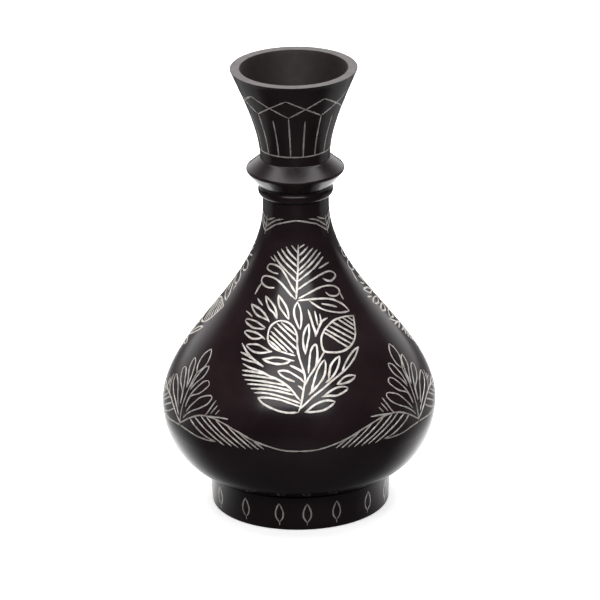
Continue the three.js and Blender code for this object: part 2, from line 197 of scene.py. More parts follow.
# %% Turning an outline
TURN_STEPS = 192
CURVE_STEPS = 20
MERGE_DISTANCE = 0.002 * MM
STRAIGHT_ENOUGH = math.radians(0.05)
SOFT_UP_TO = math.radians(32)  # sharper edges than this stay sharp to the eye


def alone(obj):
    bpy.ops.object.select_all(action="DESELECT")
    obj.select_set(True)
    bpy.context.view_layer.objects.active = obj


def finish_edit():
    bpy.ops.object.mode_set(mode="OBJECT")


def at_radius(point):
    return Vector((point[0] * MM, 0, point[1] * MM))


def turned(name, start, sides):
    bpy.ops.object.select_all(action="DESELECT")
    bpy.ops.curve.primitive_bezier_curve_add(location=(0, 0, 0))
    outline = bpy.context.object
    outline.name = name
    outline.data.name = name
    outline.data.splines.clear()
    outline.data.resolution_u = CURVE_STEPS
    spline = outline.data.splines.new("BEZIER")
    spline.bezier_points.add(len(sides))
    knots = [start] + [side[-1] for side in sides]
    for knot, place in zip(spline.bezier_points, knots):
        knot.handle_left_type = "FREE"
        knot.handle_right_type = "FREE"
        knot.co = at_radius(place)
        knot.handle_left = knot.co
        knot.handle_right = knot.co
    for i, side in enumerate(sides):
        straight = side[0] == "to"
        leave = mix(knots[i], knots[i + 1], 1 / 3) if straight else side[1]
        arrive = mix(knots[i], knots[i + 1], 2 / 3) if straight else side[2]
        spline.bezier_points[i].handle_right = at_radius(leave)
        spline.bezier_points[i + 1].handle_left = at_radius(arrive)
    alone(outline)
    bpy.ops.object.convert(target="MESH")
    obj = bpy.context.object
    bpy.ops.object.mode_set(mode="EDIT")
    bpy.ops.mesh.select_all(action="SELECT")
    bpy.ops.mesh.remove_doubles(threshold=MERGE_DISTANCE)
    bpy.ops.mesh.dissolve_limited(angle_limit=STRAIGHT_ENOUGH)
    bpy.ops.mesh.select_all(action="SELECT")
    bpy.ops.mesh.spin(steps=TURN_STEPS, angle=2 * math.pi, center=(0, 0, 0), axis=(0, 0, 1))
    bpy.ops.mesh.select_all(action="SELECT")
    bpy.ops.mesh.remove_doubles(threshold=MERGE_DISTANCE)
    bpy.ops.mesh.normals_make_consistent(inside=False)
    finish_edit()
    bpy.ops.object.shade_smooth_by_angle(angle=SOFT_UP_TO)
    print(name, "faces:", len(obj.data.polygons))
    return obj


def arc(curve):
    return ("arc", curve[1], curve[2], curve[3])


def to(radius, level):
    return ("to", (radius, level))


# %% [markdown]
# ## The foot ring
# The pot stands on a ring about 5 mm thick. Its edges are softened by use, so they get small
# arcs. The ring is turned as its own piece, as a potter adds one to a leather-hard bowl.

# %% Foot ring
foot_inside = FOOT_TOP_RADIUS - FOOT_WALL
FOOT_EDGE_ARC = ((37.9, 0), (38.3, 0.05), (38.6, 0.4), (FOOT_RADIUS, 1.0))
FOOT_SIDE = (FOOT_EDGE_ARC[3], (38.85, 5), (39.1, 10), (FOOT_TOP_RADIUS, 15.1))
FOOT_SHOULDER = (FOOT_SIDE[3], (FOOT_TOP_RADIUS, 15.45), (39.2, FOOT_HEIGHT), (38.9, FOOT_HEIGHT))
foot_ring = turned(
    "foot_ring",
    FOOT_EDGE_ARC[0],
    [
        arc(FOOT_EDGE_ARC),
        arc(FOOT_SIDE),
        arc(FOOT_SHOULDER),
        to(foot_inside, FOOT_HEIGHT),
        to(33.2, 0.8),
        ("arc", (33.2, 0.4), (33.6, 0), (34.0, 0)),
        to(*FOOT_EDGE_ARC[0]),
    ],
)

# %% [markdown]
# ## The bowl and the shoulder
# The bowl is a quarter ellipse, flat where it meets the foot. The shoulder is one long S-shaped
# curve from the widest ring up to the neck. The two pieces meet just below the widest ring, on
# the same curve, so that the joint doesn't show.

# %% Bowl
bowl_low = part_of(BOWL_OUT, FOOT_HEIGHT + 0.55, BODY_JOINT)
bowl_hollow = part_of(BOWL_IN, BODY_JOINT, FLOOR_LEVEL + 0.05)
belly_bowl = turned(
    "belly_bowl",
    (0, FOOT_HEIGHT),
    [
        to(*FOOT_SHOULDER[3]),
        to(*bowl_low[0]),
        arc(bowl_low),
        to(*bowl_hollow[0]),
        arc(bowl_hollow),
        to(0, FLOOR_LEVEL),
    ],
)

# %% Shoulder
belly_low = part_of(BOWL_OUT, BODY_JOINT, BELLY_LEVEL)
belly_high = part_of(SHOULDER_OUT, BELLY_LEVEL, NECK_JOINT)
hollow_high = part_of(SHOULDER_IN, NECK_JOINT, BELLY_LEVEL)
hollow_low = part_of(BOWL_IN, BELLY_LEVEL, BODY_JOINT)
shoulder = turned(
    "shoulder",
    belly_low[0],
    [
        arc(belly_low),
        arc(belly_high),
        to(*hollow_high[0]),
        arc(hollow_high),
        arc(hollow_low),
        to(*belly_low[0]),
    ],
)

# %% [markdown]
# ## Neck, bead and collar
# Above the shoulder the neck is a short plain tube with a narrower seat. A rounded bead and a wide
# thin collar sit on it. Their profiles are small arcs, which give the soft highlights of a
# hand-turned edge.

# %% Neck
neck_out = part_of(SHOULDER_OUT, NECK_JOINT, SHOULDER_TOP)
neck_in = part_of(SHOULDER_IN, SHOULDER_TOP, NECK_JOINT)
neck = turned(
    "neck",
    neck_out[0],
    [
        arc(neck_out),
        to(NECK_RADIUS, BEAD_SEAT),
        to(NECK_SEAT_RADIUS, BEAD_SEAT),
        to(NECK_SEAT_RADIUS, COLLAR_SEAT),
        to(NECK_BORE, COLLAR_SEAT),
        to(NECK_BORE, SHOULDER_TOP),
        arc(neck_in),
        to(*neck_out[0]),
    ],
)

# %% Bead
bead_bore = NECK_SEAT_RADIUS + BEAD_CLEARANCE
neck_bead = turned(
    "neck_bead",
    (bead_bore, BEAD_SEAT),
    [
        to(NECK_RADIUS, BEAD_SEAT),
        ("arc", (14.9, 142.4), (15.6, 142.7), (16.0, 143.4)),
        ("arc", (16.2, 143.8), (16.3, 144.2), (16.3, 144.6)),
        ("arc", (16.3, 145.4), (16.1, 146.1), (15.6, COLLAR_SEAT)),
        to(bead_bore, COLLAR_SEAT),
        to(bead_bore, BEAD_SEAT),
    ],
)

# %% Collar
collar = turned(
    "collar",
    (15.6, COLLAR_SEAT),
    [
        ("arc", (15.6, 146.9), (15.8, 147.2), (16.1, 147.6)),
        to(20.7, 153.0),
        ("arc", (21.1, 153.5), (21.3, 153.8), (21.3, 154.1)),
        ("arc", (21.3, 154.5), (21.2, 154.7), (20.8, 155.0)),
        to(16.0, 159.0),
        ("arc", (15.5, 159.4), (MOUTH_FOOT_RADIUS, 159.5), (MOUTH_FOOT_RADIUS, MOUTH_SEAT)),
        to(NECK_BORE, MOUTH_SEAT),
        to(NECK_BORE, COLLAR_SEAT),
        to(15.6, COLLAR_SEAT),
    ],
)

# %% [markdown]
# ## The mouth
# The mouth is a funnel with a wall of about 4 mm at the rim, thicker lower down. Its rim is cut
# flat, and the two edges of the cut are softened by 0.4 mm, where the stone has rubbed them.

# %% Mouth
rim_out = part_of(MOUTH_OUT, MOUTH_SEAT, RIM_LEVEL - RIM_EDGE)
rim_in = part_of(MOUTH_IN, RIM_LEVEL - RIM_EDGE, MOUTH_SEAT)
mouth = turned(
    "mouth",
    MOUTH_OUT[0],
    [
        arc(rim_out),
        ("arc", (RIM_RADIUS, 199.85), (27.6, RIM_LEVEL), (RIM_RADIUS - RIM_EDGE, RIM_LEVEL)),
        to(INNER_RIM_RADIUS + RIM_EDGE, RIM_LEVEL),
        ("arc", (23.6, RIM_LEVEL), (INNER_RIM_RADIUS, 199.85), rim_in[0]),
        arc(rim_in),
        to(*MOUTH_OUT[0]),
    ],
)
clay_pieces = [foot_ring, belly_bowl, shoulder, neck, neck_bead, collar, mouth]

# %% [markdown]
# ## Finding the surface
# The silver lines lie on the clay. To put a line there we need the clay's radius at any height.
# The outer curves are sampled once, and numpy looks heights up between the samples. No line
# crosses the bead or the collar, so a plain upright stands in for them.


# %% Radius of the clay at a height
def upright(radius, low, high):
    return tuple((radius, low + (high - low) * third / 3) for third in range(4))


OUTER_CURVES = [
    FOOT_EDGE_ARC,
    FOOT_SIDE,
    bowl_low,
    belly_low,
    SHOULDER_OUT,
    upright(NECK_RADIUS, SHOULDER_TOP, BEAD_SEAT),
    upright(MOUTH_FOOT_RADIUS, BEAD_SEAT, MOUTH_SEAT),
    MOUTH_OUT,
]
SAMPLES_PER_CURVE = 100
samples = [
    split(curve, i / SAMPLES_PER_CURVE)[0][3]
    for curve in OUTER_CURVES
    for i in range(SAMPLES_PER_CURVE + 1)
]
sample_radii = np.array([point[0] for point in samples])
sample_levels = np.maximum.accumulate(np.array([point[1] for point in samples]))


def clay_radius(level):
    return np.interp(level, sample_levels, sample_radii)


print("radius at the widest ring:", float(clay_radius(BELLY_LEVEL)))

# %% [markdown]
# ## Drawing on a card
# The maker sees the ornament from in front and a little above, so the drawing is planned on a
# flat card that leans back 21 degrees. Each point of the card is carried straight back until it
# meets the clay. Points given by an angle and a height go straight to the clay instead.

# %% From card to clay
CARD_LEAN = math.radians(21)
CARD_FOOT = BELLY_LEVEL - BELLY_RADIUS * math.tan(CARD_LEAN)
FILL_DEPTH = 0.12  # the middle of a silver line lies this far under the surface


def spun(x, y, degrees):
    turn = math.radians(degrees)
    return x * math.cos(turn) - y * math.sin(turn), x * math.sin(turn) + y * math.cos(turn)


def on_card(point, degrees):
    across, up = point
    base = CARD_FOOT + up * math.cos(CARD_LEAN)

    def place(travel):
        depth = up * math.sin(CARD_LEAN) - travel * math.cos(CARD_LEAN)
        return across, depth, base + travel * math.sin(CARD_LEAN)

    def is_buried(travel):
        x, y, level = place(travel)
        return math.hypot(x, y) < clay_radius(level) - FILL_DEPTH

    inside = 2 * BELLY_RADIUS
    while inside > 0 and not is_buried(inside):
        inside -= 1.0
    outside = inside + 1.0
    for _ in range(18):
        middle = (inside + outside) / 2
        if is_buried(middle):
            inside = middle
        else:
            outside = middle
    x, y, level = place(inside)
    x, y = spun(x, y, degrees)
    return Vector((x, y, level)) * MM


def on_pot(degrees, level):
    radius = clay_radius(level) - FILL_DEPTH
    x, y = spun(0, -radius, degrees)
    return Vector((x, y, level)) * MM


# %% [markdown]
# ## Smooth strokes
# A stroke is a few points with a smooth curve through them (Catmull and Rom's rule). It is
# sampled about once a millimetre before it is laid on the clay, so it follows every bulge.


# %% Smoothing a stroke
def smooth(points, spacing=1.0):
    ends = [points[0], *points, points[-1]]
    made = []
    for i in range(1, len(ends) - 2):
        p0, p1, p2, p3 = (np.array(p, float) for p in ends[i - 1 : i + 3])
        count = max(2, round(float(np.linalg.norm(p2 - p1)) / spacing))
        for j in range(count):
            t = j / count
            bend = 2 * p0 - 5 * p1 + 4 * p2 - p3
            twist = 3 * p1 - p0 - 3 * p2 + p3
            made.append(tuple((2 * p1 + (p2 - p0) * t + bend * t * t + twist * t**3) / 2))
    made.append(tuple(points[-1]))
    return made


# %% [markdown]
# ## Laying the metal
# Every silver piece is one object made of many strokes. Each stroke is a bevelled curve, thinner
# at its ends, as where the cutting tool lifts, and its width wanders a little, as by hand. After
# conversion to a mesh, what stands proud of the clay is rubbed down almost to its surface.

# %% Silver strokes
LINE_RADIUS = 0.45
FINE_LINE_RADIUS = 0.34  # round the mouth, neck and foot, and on the sprays
PROUD = 0.05  # what is left standing above the clay
TAPER = 1.6  # length of a stroke's thin end
END_SHARE = 0.45  # width at the very end, as a share of the full width
UNEVEN = 0.35  # how much the width of a hand-cut line wanders
UNEVEN_LENGTH = 2.5
LOOP_GAP = 0.01 * MM  # a stroke whose ends are nearer than this is a closed ring
STROKE_MERGE = 0.001 * MM
STROKE_SOFT_UP_TO = math.radians(50)


def silver_piece(name, strokes, radius):
    """strokes is a list of lists of places on the clay, in metres."""
    bpy.ops.object.select_all(action="DESELECT")
    bpy.ops.curve.primitive_nurbs_path_add(location=(0, 0, 0))
    lines = bpy.context.object
    lines.name = name
    lines.data.name = name
    lines.data.splines.clear()
    lines.data.dimensions = "3D"
    lines.data.bevel_depth = radius * MM
    lines.data.bevel_resolution = 4
    lines.data.use_fill_caps = True
    for places in strokes:
        closed = (places[0] - places[-1]).length < LOOP_GAP
        if closed:
            places = places[:-1]
        spline = lines.data.splines.new("POLY")
        spline.points.add(len(places) - 1)
        spline.use_cyclic_u = closed
        reach = [0.0]
        for a, b in zip(places, places[1:]):
            reach.append(reach[-1] + (b - a).length / MM)
        for knot, place, gone in zip(spline.points, places, reach):
            knot.co = (*place, 1)
            edge = min(gone, reach[-1] - gone)
            press = 1 + UNEVEN * noise.noise(place / (UNEVEN_LENGTH * MM))
            thinned = END_SHARE + (1 - END_SHARE) * edge / TAPER
            knot.radius = press * (1 if closed else min(1.0, thinned))
    alone(lines)
    bpy.ops.object.convert(target="MESH")
    obj = bpy.context.object
    rub_down(obj)
    bpy.ops.object.mode_set(mode="EDIT")
    bpy.ops.mesh.select_all(action="SELECT")
    bpy.ops.mesh.remove_doubles(threshold=STROKE_MERGE)
    bpy.ops.mesh.normals_make_consistent(inside=False)
    finish_edit()
    bpy.ops.object.shade_smooth_by_angle(angle=STROKE_SOFT_UP_TO)
    return obj


def rub_down(obj):
    """Brings what stands proud of the clay down to it."""
    flat = np.zeros(len(obj.data.vertices) * 3)
    obj.data.vertices.foreach_get("co", flat)
    places = flat.reshape(-1, 3)
    radii = np.hypot(places[:, 0], places[:, 1])
    limit = (clay_radius(places[:, 2] / MM) + PROUD) * MM
    places[:, :2] *= np.minimum(1.0, limit / np.maximum(radii, 1e-9))[:, None]
    obj.data.vertices.foreach_set("co", places.ravel())
    obj.data.update()


silver_pieces = []


def lay(name, strokes, radius=FINE_LINE_RADIUS):
    obj = silver_piece(name, strokes, radius)
    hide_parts(name)
    silver_pieces.append(obj)
    print(name, "strokes:", len(strokes))


# %% [markdown]
# ## Round the mouth
# A ring runs round the foot of the mouth. Nine long and nine short lines stand on it, and above
# them slanting lines cross to make a row of pointed lozenges.

# %% Mouth lattice
COUNT = 9
PITCH = 360 / COUNT
LONG_TURN = -7  # degrees from the front to the first long line
SHORT_TURN = 13
HIGH_TURN = -8.5
RING_LEVEL = 164.3
LONG_TOP = 184.2
SHORT_TOP = 182.3
LOZENGE_TOP = 193


def level_ring(level, steps=180):
    return [on_pot(360 * i / steps, level) for i in range(steps)] + [on_pot(0, level)]


def pot_line(points, spacing=1.0):
    """A smooth stroke through (degrees, level) points."""
    per_degree = math.radians(1) * float(clay_radius(points[0][1]))
    flat = [(degrees * per_degree, level) for degrees, level in points]
    return [on_pot(x / per_degree, level) for x, level in smooth(flat, spacing)]


lattice = [level_ring(RING_LEVEL)]
for k in range(COUNT):
    long_at = LONG_TURN + k * PITCH
    lattice.append(pot_line([(long_at, RING_LEVEL), (long_at, LONG_TOP)]))
    short_at = SHORT_TURN + k * PITCH
    lattice.append(pot_line([(short_at, RING_LEVEL), (short_at, SHORT_TOP)]))
    for side in (-1, 1):
        high_at = HIGH_TURN + (k + side) * PITCH
        lattice.append(pot_line([(long_at, LONG_TOP), (high_at, LOZENGE_TOP)]))
lay("mouth_lattice", lattice)

# %% [markdown]
# ## Round the neck
# Three sprigs stand on the neck, each a stalk with two barbs on each side. Arches swing from one
# sprig to the next.

# %% Neck band
REPEATS = 3  # of the ornament, round the pot
THIRD = 360 / REPEATS
SPRIG = [(0, 126.5), (0.5, 131), (0, 135)]
ARCH = [(0, 127.8), (18, 131.4), (30, 133), (60, 134.8), (90, 133), (102, 131.4), (120, 127.8)]
LONG_BARB = [(0, 129.8), (15, 132.9), (26, 134.5), (38, 135.3)]
SHORT_BARB = [(1, 133.1), (12, 134.2), (22, 135.4)]
neck_lines = []
for k in range(REPEATS):
    middle = THIRD * (k + 0.5)
    for line in (SPRIG, ARCH):
        neck_lines.append(pot_line([(middle + d, level) for d, level in line]))
    for side in (-1, 1):
        for line in (LONG_BARB, SHORT_BARB):
            neck_lines.append(pot_line([(middle + side * d, level) for d, level in line]))
lay("neck_band", neck_lines)

# %% [markdown]
# ## The garland and its sprays
# One line swags round the belly, low under each medallion and high beside each spray. Short
# hatches hang from it, and a half leaf lies under each side of a spray. A spray is a stem with a
# leaf at its tip, and three leaves and a few short strokes down each side.

# %% Garland
# (degrees from the medallion's middle, level); a hatch is (degrees at its top, at its foot, level)
SWAG = [
    (0, 45.9), (7, 46.3), (14, 48), (20, 49.9), (26, 52.3),
    (33, 54.6), (40, 55.9), (47, 55.3), (53, 52.6), (58, 49.3), (60, 48),
]
SWAG_HATCHES = [
    (20.5, 15, 46.3), (26.5, 17.5, 46), (32.5, 20.2, 45.9), (38.5, 23, 45.6),
    (43.5, 26.3, 45.5), (47, 29.5, 45.6), (50.4, 33, 45.3),
]
HALF_LEAF_TOP = [(37.3, 46.1), (42.5, 47), (48, 49.2), (53.3, 52.2)]
HALF_LEAF_FOOT = [(37.3, 46.1), (42.4, 45.6), (48.4, 45.7), (54.2, 46.5), (60, 46.9)]
STEM = [(-0.3, 0.3), (0, 10), (0.5, 19), (0.8, 24.5)]
TIP_LEAF = [
    [(0.8, 24.5), (-0.9, 26.5), (-1.5, 30), (-0.6, 33.5), (1.7, 36)],
    [(1.7, 36), (3.2, 34), (4, 30.5), (3.2, 27.5), (0.8, 24)],
]


def level_of_swag(degrees):
    return float(np.interp(degrees, [p[0] for p in SWAG], [p[1] for p in SWAG]))


def card_line(points, degrees, up=0.0):
    return [on_card((x, y + up), degrees) for x, y in smooth(points)]


garland = []
for k in range(REPEATS):
    front = THIRD * k
    for side in (-1, 1):
        lines = [SWAG, HALF_LEAF_TOP, HALF_LEAF_FOOT]
        for high, low, level in SWAG_HATCHES:
            top = level_of_swag(high)
            lines.append([(high, top), ((high + low) / 2, (top + level) / 2), (low, level)])
        for line in lines:
            garland.append(pot_line([(front + side * d, level) for d, level in line]))
    spray = front + THIRD / 2
    garland += [card_line(line, spray) for line in [STEM, *TIP_LEAF]]
lay("belly_garland", garland)

# %% Spray leaves
SIDE_LEAVES = [
    [(-6, 29.3), (-6.7, 27.5), (-6, 24), (-3.5, 20.5), (-1.5, 16.5)],
    [(-6, 29.3), (-4, 28), (-2.5, 24.5), (-1.75, 22), (-1.25, 17.5)],
    [(-10, 23.8), (-11.5, 22.5), (-10.5, 20), (-8, 17), (-3.5, 14), (-2.3, 9)],
    [(-10, 23.8), (-8, 22.8), (-6, 20), (-3.5, 15.5), (-2.5, 12), (-2.1, 8.8)],
    [(-15.5, 18.5), (-16, 17.3), (-14.8, 14.5), (-11.5, 11.5), (-7, 8.5), (-4, 6), (-2, 3.8)],
    [(-15.5, 18.5), (-14, 18.3), (-10, 16), (-7.5, 13), (-5, 9.5), (-3.5, 7)],
    [(-27, 12.4), (-23, 11.5), (-19, 10.3), (-15, 9.3)],
    [(-22, 14.7), (-20.7, 12)],
    [(-20.2, 16), (-18.3, 11.5)],
    [(-18.6, 17.8), (-16.4, 11), (-14.8, 9.3)],
]
for k in range(REPEATS):
    spray = THIRD * (k + 0.5)
    for name, side in (("left", 1), ("right", -1)):
        lines = [card_line([(side * x, y) for x, y in line], spray) for line in SIDE_LEAVES]
        lay(f"spray_{k + 1}_{name}_leaf", lines)

# %% [markdown]
# ## The medallions
# The same bouquet is drawn three times round the belly. A feather stands on top with a curl on
# each side. Below it are a hatched fruit, an acorn, ferny leaves and a comb of fine lines. The
# strokes are listed for one bouquet and laid at 0, 120 and 240 degrees.

# %% Feather, curls and big leaf
CREST = [
    [(0.7, 53.5), (0.5, 45), (0, 37), (-0.5, 30)],
    [(-2.2, 53.2), (-1, 51.8), (0.3, 50)],
    [(-4.5, 52.7), (-3, 50), (0.2, 46.5)],
    [(-6.6, 51.8), (-4, 48), (0.2, 43.8)],
    [(-8.3, 50.8), (-5.5, 46.5), (0, 40.8)],
    [(-9.8, 49.3), (-7, 45), (-0.3, 37.5)],
    [(-11.3, 48.7), (-9.2, 46.3)],
    [(3.4, 53.5), (1.2, 52), (0.8, 51)],
    [(5, 52.9), (3, 50.5), (0.8, 48.5)],
    [(7, 52), (3.5, 48), (0.5, 45)],
    [(8.8, 51.3), (5, 46.5), (0.5, 42)],
    [(10.2, 50), (6, 45), (0.3, 40)],
    [(11.3, 48.2), (7, 43), (0.3, 37.5)],
    [(13.8, 45.7), (9.3, 43)],
    [
        (-8, 41), (-10.5, 41.7), (-12.3, 42.8), (-12.7, 44), (-11.7, 45.3),
        (-9.5, 45), (-7, 43.5), (-5, 40.5), (-3, 36.5), (-0.7, 32.5),
    ],
    [
        (-9.8, 35), (-12.5, 35.2), (-14.3, 36.2), (-15.2, 37.5), (-15.2, 39), (-14, 40.2),
        (-12, 40), (-9.5, 39), (-7, 37), (-4.5, 34), (-2.5, 31.5), (-0.7, 29.8),
    ],
    [(-15.2, 37.3), (-16.8, 35), (-18.3, 32.3)],
    [
        (11, 38.8), (12.8, 37.8), (14.5, 37.7), (15.7, 38.5), (16.5, 39.7), (16, 41),
        (14.3, 41.8), (12.5, 41.5), (10, 40.3), (7, 38.5), (3, 36), (0.2, 34),
    ],
    [
        (12.2, 32.8), (13.5, 31.5), (15.3, 31), (17, 31.2), (18.2, 32.5), (17.8, 34),
        (16.3, 35.2), (14, 35.6), (11.5, 35.4), (8.5, 34.3), (5, 32.5), (0.5, 30.2),
    ],
    [(18, 33), (19, 31), (19.8, 29.5)],
    [(0, 29.3), (5, 29.7), (10, 30), (14, 29.8), (17, 28.8), (20, 27), (22.3, 24.5)],
    [(5, 29.2), (8, 27), (11, 25.3), (15, 24.2), (19, 23.8), (22.3, 24.5)],
    [(10.3, 27.8), (13.5, 27.2), (17, 26.3)],
    [(-0.1, 28.9), (-1.4, 26), (-1.5, 23), (-0.6, 20), (0.7, 16.9)],
    [(-0.1, 28.9), (1.2, 25.5), (1.6, 22), (1.4, 19), (0.9, 16.8)],
]

# %% Stem, fruit, acorn and frond
FRUIT_HATCHES = [
    [(-7.2, 20), (-1, 14.5)], [(-9, 19.7), (-0.8, 11.5)], [(-10.5, 18), (-0.7, 8.3)],
    [(-11.7, 16.3), (-2, 6.7)], [(-12.3, 14.5), (-4.8, 7.3)], [(-12.6, 12.5), (-7.5, 8)],
]
ACORN_HATCHES = [
    [(11.8, 16.8), (23, 10.3)], [(13.3, 18.3), (24, 12.1)], [(14.8, 19.8), (24.6, 14.1)],
    [(17, 21.2), (24.6, 16.2)], [(19, 21.8), (24.4, 18)], [(21.3, 22), (24.2, 20)],
]
ACORN = [
    (24, 22.3), (20, 22), (16, 20.7), (13, 18.3), (11, 15.7), (10, 13), (10, 10.5), (10.5, 8.5),
    (11.3, 7.2), (13.5, 6.8), (16.5, 6.7), (19.5, 7.3), (22.2, 9), (24, 11.5), (24.7, 14.5),
    (24.5, 18), (24, 22.3),
]
STEM_LINES = [
    [
        (-0.5, 14), (-0.3, 9), (0.3, 5), (1.5, 1), (2.5, -2.5), (2.7, -5.5), (2, -9),
        (1.3, -13), (0.5, -16.5), (-0.5, -18.7),
    ],
    [
        (-1.3, 5.6), (-6, 7), (-10, 8.7), (-12.6, 11.3), (-13, 14.5), (-12, 18), (-9.5, 20.2),
        (-7, 20.7), (-4, 19.8), (-1.7, 17.5), (-0.5, 14.5), (-0.4, 11), (-0.3, 6),
    ],
    [(-3.7, 1.5), (-1, 0.2), (1.5, -1.3), (2.3, -2.5)],
    [(-0.4, -7.3), (0.8, -8), (1.7, -9.3)],
    [(-9, -0.9), (-6.5, -0.7), (-4, -1.3), (-1.5, -2.8), (0.8, -4.3), (2.3, -6)],
    [(-9, -0.9), (-7.8, -2.5), (-5.5, -4), (-3.5, -4.9), (-1.7, -5.6)],
    [(4.7, 19.2), (3.5, 17.5), (2.5, 15), (2.1, 12), (2.4, 9), (2.9, 6.4)],
    [(4.7, 19.2), (4.8, 17), (4.7, 14), (4, 11), (3.4, 8), (3, 6)],
    [(4.2, -2), (4.8, 4), (5.5, 8), (6.8, 10), (7.8, 10), (8.2, 7), (8, 3.5), (7.2, 1.1)],
    [(4.5, 25.4), (5.5, 22), (6.5, 18.5), (7.5, 15.5), (7.5, 13.6)],
    [(7.3, 24.7), (8, 21.5), (8.6, 18.5)],
    [(9.4, 23.4), (9.9, 21), (9.5, 20)],
    [(12.8, 21.7), (10.5, 20.3), (9.2, 18), (8.2, 15.5), (7.5, 13.6)],
    ACORN,
    [(10.8, 15.6), (14, 13.8), (18, 11), (22, 8.5)],
    [(11.3, 7.2), (10, 5), (8, 1.7), (6, -1.5), (4.2, -4), (2.9, -7)],
    [
        (0.3, -17.3), (3, -14.8), (6, -12), (10, -9), (14, -5.7), (17.5, -3), (20.5, -0.5),
        (23, 2.5), (24.8, 5.5), (26, 9),
    ],
    [(26, 9), (23.5, 7), (21, 3.5), (19.5, 0.5), (18.8, -2)],
    [(4.2, -11.3), (5.5, -9.8), (5.8, -8), (6.8, -4.5), (8, -1), (9.5, 1.8), (11.2, 3.7)],
    [(11.2, 3.7), (11.7, 2), (11.5, -1), (10.8, -3.5), (9, -6.3), (6.5, -9), (4.2, -11.3)],
    [(17.7, 5.2), (15.5, 3.5), (13.8, 1), (13.2, -2), (12.8, -4.5)],
    [(17.7, 5.2), (17.5, 2.5), (16.5, -0.5), (14.8, -3.3), (12.5, -5.5), (11.5, -6.2)],
    *FRUIT_HATCHES,
    *ACORN_HATCHES,
]

# %% Fern leaves on the left, comb and lower leaves
LEAF_GROUPS = [
    [
        [(-8.2, 32), (-8.2, 29), (-7.7, 26.5), (-6, 24), (-4.2, 21.5)],
        [(-8.2, 32), (-7, 30.3), (-5, 27), (-4.1, 24), (-3.9, 21.2)],
        [(-13.7, 31.6), (-13.3, 29), (-12.2, 26), (-10.2, 24), (-9.3, 21.8)],
        [(-13.7, 31.6), (-12, 29.8), (-10, 27), (-9.2, 24.5), (-8.9, 21.5)],
        [(-17.2, 30.6), (-16.2, 29), (-15, 27.5)],
    ],
    [
        [(-19.9, 28.2), (-19.3, 26), (-17.5, 23.3), (-14.5, 21.8), (-12.5, 20.8)],
        [(-19.9, 28.2), (-17.5, 26.8), (-15, 24.8), (-13.3, 22.3), (-12.3, 20.3)],
        [(-22.2, 25.2), (-20.8, 24), (-19.6, 22.7)],
        [(-22.6, 21), (-22, 21.7), (-20.5, 21.5), (-17.8, 20.5), (-15.5, 18.8), (-14, 17.8)],
        [(-22.6, 21), (-22, 20), (-19.5, 18), (-17, 17.5), (-14.3, 17.3)],
    ],
    [
        [(-23.2, 16.2), (-22, 16.7), (-20.5, 16.5), (-17.5, 15.5), (-15.3, 13.8), (-14.3, 12.8)],
        [(-23.2, 16.2), (-22, 14.8), (-20, 13.3), (-17, 13.2), (-15, 14)],
        [(-22.4, 10.3), (-21.5, 10.7), (-17.5, 10.6), (-14.5, 9), (-12.5, 7.8), (-11.3, 7.6)],
        [(-22.4, 10.3), (-22, 9.8), (-19.5, 7.7), (-16.5, 7), (-13, 7.3), (-11.3, 7.5)],
        [(-15.5, 4.5), (-13.2, 4.6), (-10.5, 5), (-7, 4.7), (-4, 3.8), (-1.7, 3.4)],
        [(-15.5, 4.5), (-15.2, 4.2), (-12.8, 3), (-9.5, 2.2), (-6, 2.3), (-3.5, 3.3)],
        [(-24.2, 11.3), (-22.5, 8), (-20, 5), (-17.5, 2.8), (-15.3, 1)],
        [(-24.8, 7.5), (-22.5, 6.3), (-20, 4.5)],
        [(-24.5, 4.8), (-21.5, 3.7), (-18, 2.8), (-15, 1.2)],
        [
            (-24, 2.5), (-21, 0.8), (-17, -0.7), (-13, -2.7), (-9, -4.5), (-5.5, -6.8),
            (-2.7, -9.5), (-0.7, -12.3), (1, -14),
        ],
        [(-24.3, -0.3), (-20, -1), (-15, -2)],
        [(-24.3, -2.3), (-18, -3), (-10, -4.2)],
        [(-23.3, -4.3), (-17, -5), (-11, -6), (-5.5, -7)],
        [(-22.2, -6.2), (-16, -6.7), (-10, -7.7), (-3.5, -9.5)],
        [(-20.7, -8.2), (-15, -8.5), (-9, -9.5), (-2, -11.3)],
        [(-19.3, -10), (-14, -10.3), (-8, -11.8), (-3, -13.5), (1, -15)],
        [(-17.8, -12.2), (-14, -12.2), (-9, -13), (-5, -14.3), (0.5, -16.3)],
        [(-17.8, -12.2), (-15.5, -14.7), (-12, -16.7), (-8, -18.2), (-4.5, -18.8), (-0.5, -18.7)],
    ],
    [
        [(21, -8.3), (18.5, -8), (15.5, -8.7), (12.5, -10.5), (10.5, -12)],
        [(21, -8.3), (20.7, -9.3), (18.5, -10.8), (16, -11.8), (12.5, -11.8), (9.7, -12.3)],
        [(24.5, -3.3), (22, -3.2), (19.5, -4), (17.7, -5.7), (16.3, -7)],
        [(24.5, -3.3), (23.8, -4.5), (21.5, -6), (19, -6.7), (16.5, -7)],
        [(15.5, -14.3), (12.5, -13.8), (9, -14.5), (6, -16), (3.5, -18), (2.3, -18.7)],
        [(15.5, -14.3), (14.5, -15.5), (11, -17.7), (8, -18.4), (4, -18.7), (2.3, -18.7)],
    ],
]

# %% Laying the medallions
MEDALLION_RISE = 34.5  # up the card to the bouquet's own zero
for k in range(REPEATS):
    front = THIRD * k
    groups = [("crest", CREST), ("stem", STEM_LINES)]
    groups += [(f"leaf_{i + 1}", lines) for i, lines in enumerate(LEAF_GROUPS)]
    for name, lines in groups:
        laid = [card_line(line, front, MEDALLION_RISE) for line in lines]
        lay(f"medallion_{k + 1}_{name}", laid, LINE_RADIUS)
